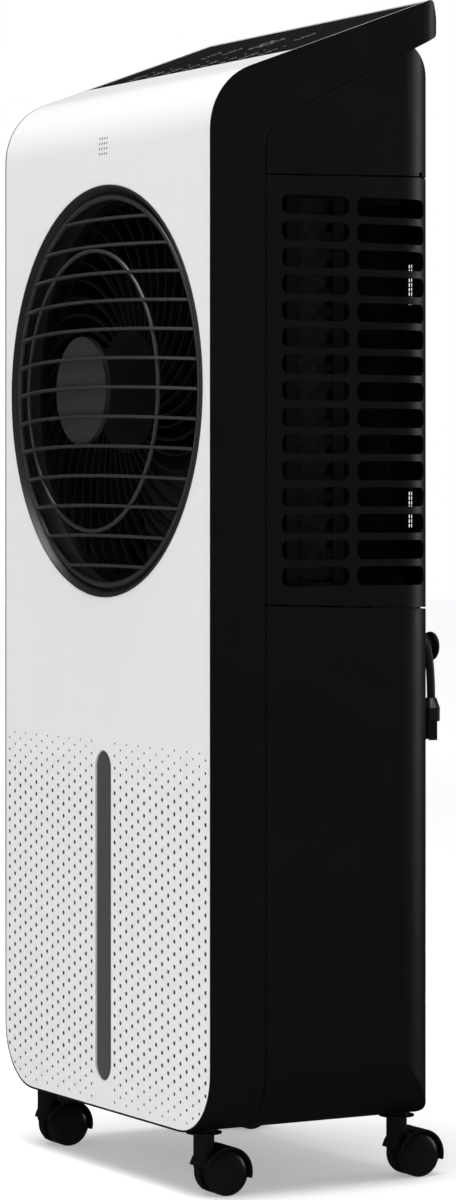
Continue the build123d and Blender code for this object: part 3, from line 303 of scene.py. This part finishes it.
outer, middle, inner = LAYER_RADII
cord_route = list(LEAD_IN)
cord_route += hank_turn(outer, middle, LANES[0], LANES[0])
cord_route += hank_turn(middle, inner, LANES[0], LANES[0])
cord_route += hank_turn(inner, inner, LANES[0], LANES[1])
cord_route += hank_turn(inner, middle, LANES[1], LANES[1])
cord_route += hank_turn(middle, outer, LANES[1], LANES[1])
centre_x = HANK_CENTRE[0]
for share in (0.0, 0.3, 0.6, 0.9):
    cord_route.append((centre_x - HALF_RUN + share * 2 * HALF_RUN, LANES[1], LANE_Z))
cord_route += TAIL


def curve_length(curve_object):
    """Length of a curve with no bevel, from its own spline."""
    mesh = bpy.data.meshes.new_from_object(curve_object)
    points = np.array([v.co for v in mesh.vertices])
    bpy.data.meshes.remove(mesh)
    return float(np.linalg.norm(np.diff(points, axis=0), axis=1).sum())


cord_curve = bpy.data.curves.new("mains_cord", "CURVE")
cord_curve.dimensions = "3D"
spline = cord_curve.splines.new("NURBS")
spline.points.add(len(cord_route) - 1)
for point, (x, depth, z) in zip(spline.points, cord_route):
    point.co = (x * MM, behind(depth), z * MM, 1)
spline.order_u = 3
spline.use_endpoint_u = True
spline.resolution_u = 6
mains_cord = bpy.data.objects.new("mains_cord", cord_curve)
bpy.context.collection.objects.link(mains_cord)
CORD_LENGTH = curve_length(mains_cord)
cord_curve.bevel_depth = CORD / 2 * MM
cord_curve.bevel_resolution = 5
cord_curve.use_fill_caps = True
cord_curve.materials.append(RUBBER)
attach(mains_cord, "cabinet")
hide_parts("power_cord", "cord_hank")
behind(CORD_EXIT[1])

# ---------------------------------------------------------------- front panel with its dimples
DOT_PITCH_X, DOT_PITCH_Z = 9.25, 9.145
DOT_RADIUS, DOT_DEPTH = 1.6, 0.9
DOT_TOP, DOT_BOTTOM = (319.0, 314.5), 50.0
FADE = 42.0


def dimple_rows():
    """Centre and size of each dimple: staggered columns that shrink towards the top and the bottom."""
    half_width = (panel_high[0] - panel_low[0]) / 2 / MM
    corner = 47.0
    for column in range(-17, 18):
        x = column * DOT_PITCH_X
        if abs(x) < 15:
            continue
        z = DOT_TOP[column % 2]
        while z > DOT_BOTTOM:
            reach = min(1.0, (DOT_TOP[0] + 5 - z) / FADE, (z - DOT_BOTTOM + 7) / FADE)
            size = DOT_RADIUS * (0.42 + 0.58 * max(0.0, reach))
            inward = max(0.0, abs(x) - (half_width - corner))
            low_edge = 0
            if inward:
                low_edge = panel_low[2] / MM + corner - math.sqrt(max(0.0, corner**2 - inward**2))
            if z > low_edge + 3:
                yield x, z, size
            z -= DOT_PITCH_Z


def dimple_cutter():
    """Shallow round cups that stand just proud of the face, to be cut from the panel; their faces carry dark
    grey painted shade into the hollows.
    """
    mesh = bpy.data.meshes.new("dimple_cutter")
    build = bmesh.new()
    sides = 14
    for x, z, size in dimple_rows():
        rings = []
        for radius, depth in ((1.12, -0.3), (1.0, 0.0), (0.86, 0.5), (0.5, DOT_DEPTH)):
            ring = []
            for n in range(sides):
                turn = 2 * math.pi * n / sides
                ring.append(build.verts.new(((x + size * radius * math.cos(turn)) * MM, behind(depth),
                                             (z + size * radius * math.sin(turn)) * MM)))
            rings.append(ring)
        for near, far in zip(rings, rings[1:]):
            for n in range(sides):
                build.faces.new((near[n], near[(n + 1) % sides], far[(n + 1) % sides], far[n]))
        build.faces.new(rings[-1])
        build.faces.new(list(reversed(rings[0])))
    bmesh.ops.recalc_face_normals(build, faces=build.faces)
    build.to_mesh(mesh)
    build.free()
    mesh.materials.append(DIMPLE_SHADE)
    cutter = bpy.data.objects.new("dimple_cutter", mesh)
    bpy.context.collection.objects.link(cutter)
    return cutter


ROUND_Y = FRONT + FRONT_ROUND
ROUND_Z = CREST - FRONT_ROUND * math.tan((math.pi / 2 - math.atan(SLOPE)) / 2)


def outer_normal(spot):
    """Normal of the panel's outer surface at a point of it: flat front, rounded edge or sloping top."""
    outward = Vector((0, spot.y - ROUND_Y, spot.z - ROUND_Z))
    uphill = Vector((0, -SLOPE, 1)).normalized()
    if abs(outward.length - FRONT_ROUND) < 0.0005 and outward.y < uphill.y * FRONT_ROUND and outward.z > 0:
        return outward.normalized()
    if spot.z <= ROUND_Z:
        return Vector((0, -1, 0))
    return uphill


def true_normals(mesh):
    """Normals of the outer faces from the panel's shape rather than from its long triangles."""
    normals = []
    for face in mesh.polygons:
        for corner in face.vertices:
            normal = outer_normal(mesh.vertices[corner].co)
            normals.append(normal if face.normal.dot(normal) > 0.97 else Vector((0, 0, 0)))
    mesh.normals_split_custom_set(normals)


def make_front_panel():
    source = NODES["front_panel"]
    mesh = source.data.copy()
    mesh.name = "white_front"
    welded = bmesh.new()
    welded.from_mesh(mesh)
    bmesh.ops.remove_doubles(welded, verts=welded.verts, dist=0.00001)
    welded.to_mesh(mesh)
    welded.free()
    piece = bpy.data.objects.new("white_front", mesh)
    bpy.context.collection.objects.link(piece)
    cutter = dimple_cutter()
    # the cut leaves the cups' faces in the dark grey painted shade
    cut = piece.modifiers.new("dimples", "BOOLEAN")
    cut.object = cutter
    cut.operation = "DIFFERENCE"
    cut.solver = "EXACT"
    cut.material_mode = "TRANSFER"
    bpy.context.view_layer.update()
    evaluated = piece.evaluated_get(bpy.context.evaluated_depsgraph_get())
    finished = bpy.data.meshes.new_from_object(evaluated)
    piece.modifiers.clear()
    piece.data = finished
    bpy.data.objects.remove(cutter)
    finished.shade_smooth()
    finished.set_sharp_from_angle(angle=math.radians(30))
    true_normals(finished)
    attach(piece, "cabinet")
    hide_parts("front_panel")
    return piece


make_front_panel()


def make_sensor_dots():
    """Dark discs under the small holes of the sensor, just below the panel's surface: painted shade inside
    the holes.
    """
    sides, radius, pitch, centre_z = 12, 0.00105, 0.0038, 0.7622
    vertices, faces = [], []
    for row in range(4):
        for column in range(4):
            x, z = (column - 1.5) * pitch, centre_z + (row - 1.5) * pitch
            start = len(vertices)
            for n in range(sides):
                level = z + radius * math.sin(2 * math.pi * n / sides)
                rise = max(0.0, level - ROUND_Z)
                sink = FRONT_ROUND - math.sqrt(FRONT_ROUND**2 - rise**2) + 0.0001
                vertices.append((x + radius * math.cos(2 * math.pi * n / sides), FRONT + sink, level))
            faces.append(tuple(range(start, start + sides)))
    new_piece("painted_shade_fill", mesh_from("painted_shade_fill", vertices, faces), SHADE_FILL, "cabinet")


make_sensor_dots()

# ---------------------------------------------------------------- printed marks on the glass
glass_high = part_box("control_panel")[1]
GLASS_TOP = glass_high[2]
GLASS_REAR = glass_high[1]
PRINT_LIFT = 0.00012


def on_glass(x, depth):
    """A point just above the glass, from a place across it and a depth, both in millimetres."""
    y = behind(depth)
    return Vector((x * MM, y, GLASS_TOP + (y - GLASS_REAR) * SLOPE + PRINT_LIFT))


class Print:
    """Flat marks on the sloping glass, gathered into one mesh."""

    def __init__(self):
        self.vertices, self.faces = [], []

    def polygon(self, outline):
        start = len(self.vertices)
        self.vertices += [on_glass(x, depth) for x, depth in outline]
        self.faces.append(tuple(range(start, len(self.vertices))))

    def bar(self, x, depth, width, height, turn=0.0):
        c, s = math.cos(turn), math.sin(turn)
        corners = ((-1, -1), (1, -1), (1, 1), (-1, 1))
        self.polygon([(x + c * a * width / 2 - s * b * height / 2,
                       depth + s * a * width / 2 + c * b * height / 2) for a, b in corners])

    def arc(self, x, depth, radius, width, start=0.0, end=360.0, steps=28):
        """A ring, or a part of one, as a strip of four-sided faces. Angles are in degrees."""
        for n in range(steps):
            a, b = (math.radians(start + (end - start) * (n + extra) / steps) for extra in (0, 1))
            inner, outer = radius - width / 2, radius + width / 2
            self.polygon([(x + inner * math.cos(a), depth + inner * math.sin(a)),
                          (x + outer * math.cos(a), depth + outer * math.sin(a)),
                          (x + outer * math.cos(b), depth + outer * math.sin(b)),
                          (x + inner * math.cos(b), depth + inner * math.sin(b))])

    def mesh(self, name):
        return mesh_from(name, self.vertices, self.faces)


def power_mark(marks, x, depth):
    marks.arc(x, depth, 4.2, 0.9, 115, 425)
    marks.bar(x, depth + 3.6, 0.9, 4.2)


def wave_mark(marks, x, depth):
    for row in (-3, 0, 3):
        for n in range(12):
            here, there = n / 12, (n + 1) / 12
            left, right = x - 5 + 10 * here, x - 5 + 10 * there
            left_depth = depth + row + 1.1 * math.sin(here * 2 * math.pi)
            right_depth = depth + row + 1.1 * math.sin(there * 2 * math.pi)
            marks.polygon([(left, left_depth - 0.4), (right, right_depth - 0.4),
                           (right, right_depth + 0.4), (left, left_depth + 0.4)])


def drop_mark(marks, x, depth):
    marks.arc(x, depth - 1, 3.2, 0.9, 150, 390)
    marks.bar(x - 1.7, depth + 2.2, 0.9, 5.0, math.radians(-32))
    marks.bar(x + 1.7, depth + 2.2, 0.9, 5.0, math.radians(32))


def clock_mark(marks, x, depth):
    marks.arc(x, depth, 4.4, 0.8)
    marks.bar(x, depth + 1.3, 0.8, 3.0)
    marks.bar(x + 1.1, depth, 2.6, 0.8)


def fan_mark(marks, x, depth):
    for turn in range(0, 360, 90):
        across, along = 2.5 * math.cos(math.radians(turn)), 2.5 * math.sin(math.radians(turn))
        marks.arc(x + across, depth + along, 2.0, 0.8, turn - 60, turn + 150, 12)
    marks.arc(x, depth, 0.7, 0.7, steps=12)


def moon_mark(marks, x, depth):
    marks.arc(x, depth, 3.9, 0.8, 60, 330)
    marks.arc(x + 1.9, depth + 1.1, 3.3, 0.8, 95, 290)


def swing_mark(marks, x, depth):
    marks.arc(x, depth - 2, 4.6, 0.8, 25, 155)
    marks.arc(x, depth - 2, 2.2, 0.8, 25, 155)
    marks.bar(x, depth - 2.6, 3.0, 0.8)


def snow_mark(marks, x, depth):
    for arm in range(3):
        marks.bar(x, depth, 9.0, 0.8, math.radians(60 * arm))


BUTTON_DEPTH, CAPTION_DEPTH, LAMP_DEPTH = 86.0, 77.5, 97.0
BUTTON_PITCH = 29.0
BUTTON_MARKS = (power_mark, fan_mark, wave_mark, drop_mark, snow_mark, swing_mark, clock_mark, moon_mark)


def make_panel_print():
    """Touch marks in a row, a short dash under each, lamps above and two seven-segment figures behind."""
    marks = Print()
    for number, draw in enumerate(BUTTON_MARKS):
        x = (number - (len(BUTTON_MARKS) - 1) / 2) * BUTTON_PITCH
        draw(marks, x, BUTTON_DEPTH)
        marks.bar(x, CAPTION_DEPTH, 8.5 if number % 2 else 11.0, 1.2)
        marks.arc(x, LAMP_DEPTH, 0.6, 1.1, steps=10)
    for x in (-58.0, -25.0, 85.0):
        marks.arc(x, 127.0, 5.0, 0.9)
        marks.bar(x, 127.0, 4.6, 0.9)
        marks.bar(x, 117.5, 9.0, 1.1)
    for x in (14.0, 29.0):
        for row in (-9.5, 0.0, 9.5):
            marks.bar(x, 128.0 + row, 7.5, 1.4)
        for side in (-1, 1):
            for row in (-4.75, 4.75):
                marks.bar(x + side * 4.9, 128.0 + row, 1.4, 7.2)
    return new_piece("panel_print", marks.mesh("panel_print"), PRINT, "cabinet")


make_panel_print()


# ---------------------------------------------------------------- cooling pad and rear net
def make_pad():
    """Fluted sheets stood side by side, each slanted against its neighbours."""
    low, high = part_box("cooling_pad")
    flute, amplitude = 0.0135, 0.0030
    sheets = int((high[0] - low[0]) / (2 * amplitude))
    steps_z, steps_y = 150, 4
    vertices, faces = [], []
    for number in range(sheets):
        x = low[0] + amplitude + number * (high[0] - low[0] - 2 * amplitude) / (sheets - 1)
        lean = 1 if number % 2 else -1
        start = len(vertices)
        for j in range(steps_y + 1):
            y = low[1] + (high[1] - low[1]) * j / steps_y
            for i in range(steps_z + 1):
                z = low[2] + (high[2] - low[2]) * i / steps_z
                wave = math.sin(2 * math.pi * (z + lean * (y - low[1])) / flute)
                vertices.append((x + 0.92 * amplitude * wave, y, z))
        for j in range(steps_y):
            for i in range(steps_z):
                a = start + j * (steps_z + 1) + i
                faces.append((a, a + 1, a + steps_z + 2, a + steps_z + 1))
    mesh = mesh_from("fluted_pad", vertices, faces, smooth=True)
    piece = new_piece("fluted_pad", mesh, PAD, "cabinet")
    thick = piece.modifiers.new("sheet", "SOLIDIFY")
    thick.thickness = 0.0004
    thick.offset = 0
    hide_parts("cooling_pad")


make_pad()


def add_box(vertices, faces, low, high):
    start = len(vertices)
    for z in (low[2], high[2]):
        for x, y in ((low[0], low[1]), (high[0], low[1]), (high[0], high[1]), (low[0], high[1])):
            vertices.append((x, y, z))
    for face in ((3, 2, 1, 0), (4, 5, 6, 7), (0, 1, 5, 4), (1, 2, 6, 5), (2, 3, 7, 6), (3, 0, 4, 7)):
        faces.append(tuple(start + n for n in face))


def make_net():
    """Woven net of crossing threads in the rear filter frame."""
    low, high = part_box("filter_mesh")
    pitch, thread = 0.0030, 0.00042
    middle = (low[1] + high[1]) / 2
    vertices, faces = [], []
    for axis in (0, 2):
        count = int((high[axis] - low[axis]) / pitch)
        for n in range(1, count):
            at = low[axis] + (high[axis] - low[axis]) * n / count
            near, far = list(low), list(high)
            near[axis], far[axis] = at - thread / 2, at + thread / 2
            shift = 0.0001 if axis else -0.0001
            near[1], far[1] = middle + shift - thread / 2, middle + shift + thread / 2
            add_box(vertices, faces, near, far)
    piece = new_piece("filter_net", mesh_from("filter_net", vertices, faces), NET, "filter")
    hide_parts("filter_mesh")


make_net()


# the rear body in plan, in millimetres
HALF_WIDTH, BODY_DEPTH, REAR_CORNER = 165.0, 194.5, 34.0
REAR_INSIDE = 190.8                         # depth of the rear wall's inner face
# the strip behind the lower seam is painted shade for the seam's gap
SEAM_SHADE_LOW, SEAM_SHADE_HIGH = 414.0, 427.0          # heights of the strip behind the lower seam
SEAM_SHADE_FRONT, SEAM_SHADE_INSET, SEAM_SHADE_THICK = 135.0, 3.8, 3.0
CORNER_STEPS = 12


def wall_outline(inset):
    """Points, seen from above, that follow the rear body's wall at an inset in millimetres."""
    half, corner = HALF_WIDTH - inset, REAR_CORNER - inset
    centre = (HALF_WIDTH - REAR_CORNER, BODY_DEPTH - REAR_CORNER)
    points = [(half, SEAM_SHADE_FRONT)]
    for n in range(CORNER_STEPS + 1):
        turn = math.pi / 2 * n / CORNER_STEPS
        points.append((centre[0] + corner * math.cos(turn), centre[1] + corner * math.sin(turn)))
    points += [(-x, depth) for x, depth in reversed(points)]
    return [(x * MM, behind(depth)) for x, depth in points]


def make_dark_gap_strips():
    """Dark strips inside the rear wall that close the gaps above and below the filter, and a strip behind the
    lower seam that puts painted shade in the seam's gap.
    """
    low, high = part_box("filter_frame")
    lap, edge = 0.0035, 0.0060                  # over the frame, and over the wall beside it
    front, face, wall = low[1] - 0.0012, low[1] - 0.0003, behind(REAR_INSIDE) - 0.0001
    vertices, faces = [], []
    across = (low[0] - edge, high[0] + edge)
    for outer, inner in ((low[2] - edge, low[2]), (high[2] + edge, high[2])):
        into = lap if outer < inner else -lap
        add_box(vertices, faces, (across[0], front, min(outer, inner + into)),
                (across[1], face, max(outer, inner + into)))
        add_box(vertices, faces, (across[0], face, min(outer, inner)), (across[1], wall, max(outer, inner)))
    outside, inside = wall_outline(SEAM_SHADE_INSET), wall_outline(SEAM_SHADE_INSET + SEAM_SHADE_THICK)
    start, last = len(vertices), len(outside) - 1
    for (x_out, y_out), (x_in, y_in) in zip(outside, inside):
        for z in (SEAM_SHADE_LOW * MM, SEAM_SHADE_HIGH * MM):
            vertices += [(x_out, y_out, z), (x_in, y_in, z)]
    for n in range(last):
        a, b = start + 4 * n, start + 4 * (n + 1)
        faces += [(a, b, b + 2, a + 2), (a + 3, b + 3, b + 1, a + 1),
                  (a + 1, b + 1, b, a), (a + 2, b + 2, b + 3, a + 3)]
    end = start + 4 * last
    faces += [(start, start + 2, start + 3, start + 1), (end + 1, end + 3, end + 2, end)]
    new_piece("dark_gap_strips", mesh_from("dark_gap_strips", vertices, faces), SHADE_FILL, "cabinet")


make_dark_gap_strips()

# ---------------------------------------------------------------- floor and lights
def distance_from_origin(tree, near, far, near_value, far_value):
    """Shader value that changes evenly with the distance from the middle of the floor, in metres."""
    coords = tree.nodes.new("ShaderNodeTexCoord")
    length = tree.nodes.new("ShaderNodeVectorMath")
    length.operation = "LENGTH"
    tree.links.new(coords.outputs["Object"], length.inputs[0])
    return ramp(tree.nodes, tree.links, length.outputs["Value"], near_value, far_value, near, far)


FLOOR_SIZE = 14.0
floor_mesh = mesh_from("floor", [(-FLOOR_SIZE, -FLOOR_SIZE, 0), (FLOOR_SIZE, -FLOOR_SIZE, 0),
                                 (FLOOR_SIZE, FLOOR_SIZE, 0), (-FLOOR_SIZE, FLOOR_SIZE, 0)], [(0, 1, 2, 3)])
floor = bpy.data.objects.new("floor", floor_mesh)
bpy.context.collection.objects.link(floor)
floor_paper = moulded("floor_paper", (0.92, 0.92, 0.92), 0.8, vary=0.004, grain=120)
floor_glow = floor_paper.node_tree.nodes["Principled BSDF"]
floor_glow.inputs["Emission Color"].default_value = (1, 1, 1, 1)
far_from_part = distance_from_origin(floor_paper.node_tree, 1.2, 5.0, 0.36, 0.68)
floor_paper.node_tree.links.new(far_from_part, floor_glow.inputs["Emission Strength"])
floor_mesh.materials.append(floor_paper)
floor.visible_glossy = False


def studio_world(seen, lighting, mirrored):
    """White backdrop that lights softly and is darker in reflections, like a studio hung with black."""
    world = bpy.data.worlds.new("studio")
    bpy.context.scene.world = world
    world.use_nodes = True
    nodes, links = world.node_tree.nodes, world.node_tree.links
    ray = nodes.new("ShaderNodeLightPath")
    shine = nodes.new("ShaderNodeMapRange")
    shine.inputs["To Min"].default_value = lighting
    shine.inputs["To Max"].default_value = mirrored
    links.new(ray.outputs["Is Glossy Ray"], shine.inputs["Value"])
    strength = nodes.new("ShaderNodeMapRange")
    links.new(shine.outputs["Result"], strength.inputs["To Min"])
    strength.inputs["To Max"].default_value = seen
    links.new(ray.outputs["Is Camera Ray"], strength.inputs["Value"])
    links.new(strength.outputs["Result"], nodes["Background"].inputs["Strength"])
    nodes["Background"].inputs["Color"].default_value = (1, 1, 1, 1)


studio_world(seen=1.0, lighting=0.33, mirrored=0.02)


def soft_light(name, spot, target, size, power, colour=(1, 1, 1)):
    data = bpy.data.lights.new(name, "AREA")
    data.shape = "RECTANGLE"
    data.size, data.size_y = size
    data.energy = power
    data.color = colour
    light = bpy.data.objects.new(name, data)
    bpy.context.collection.objects.link(light)
    light.location = spot
    light.rotation_euler = (Vector(target) - Vector(spot)).to_track_quat("-Z", "Y").to_euler()


MIDDLE = (0, 0, 0.45)
soft_light("key", (-1.0, -2.6, 1.3), MIDDLE, (1.0, 1.8), 4)
soft_light("rear_rim", (0.6, 2.7, 1.0), MIDDLE, (0.8, 1.8), 12)
soft_light("top", (0.2, -0.5, 2.9), MIDDLE, (2.4, 1.6), 84)
